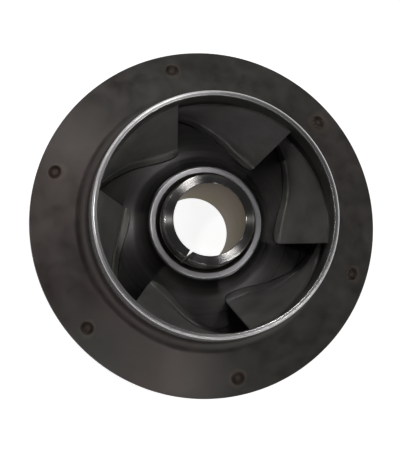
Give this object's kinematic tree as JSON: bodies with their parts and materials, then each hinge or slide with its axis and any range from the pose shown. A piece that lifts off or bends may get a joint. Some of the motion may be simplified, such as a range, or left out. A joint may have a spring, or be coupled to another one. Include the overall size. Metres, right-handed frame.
{
  "type": "submersible pump impeller",
  "caption": "Closed mixed-flow pump impeller of welded stainless sheet: coned front shroud with neck, twisted blades, back shroud, hub tube and slit shaft sleeve.",
  "frame": {"origin": "centre of the hub's lower end face, the lowest face of the part, on the shaft axis", "axes": "+Z along the shaft axis towards the suction eye; +X and +Y across, with the first blade's inlet edge at 48 degrees from +X"},
  "size_m": [0.15, 0.15, 0.067],
  "materials": {
    "machined_neck": "bright turned stainless",
    "front_sheet": "dull pressed stainless with faint heat tints",
    "back_sheet": "turned stainless with brown and straw heat tints",
    "machined_hub": "bright turned stainless",
    "turned_flange": "dark turned stainless",
    "sleeve_steel": "turned stainless, brownish in the bore",
    "blade_sheet": "dull pressed stainless with a greenish film",
    "weld_spot": "dark oxidised weld spot"
  },
  "bodies": {
    "root": {"neck_ring": "machined_neck", "front_shroud": "front_sheet", "back_shroud": "back_sheet", "hub": "machined_hub", "hub_flange": "turned_flange", "split_sleeve": "sleeve_steel", "blade_1": "blade_sheet", "blade_2": "blade_sheet", "blade_3": "blade_sheet", "blade_4": "blade_sheet", "blade_5": "blade_sheet", "blade_6": "blade_sheet", "front_weld_1": "weld_spot", "front_weld_2": "weld_spot", "front_weld_3": "weld_spot", "front_weld_4": "weld_spot", "front_weld_5": "weld_spot", "front_weld_6": "weld_spot", "back_weld_1": "weld_spot", "back_weld_2": "weld_spot", "back_weld_3": "weld_spot", "back_weld_4": "weld_spot", "back_weld_5": "weld_spot", "back_weld_6": "weld_spot"}
  },
  "joints": []
}
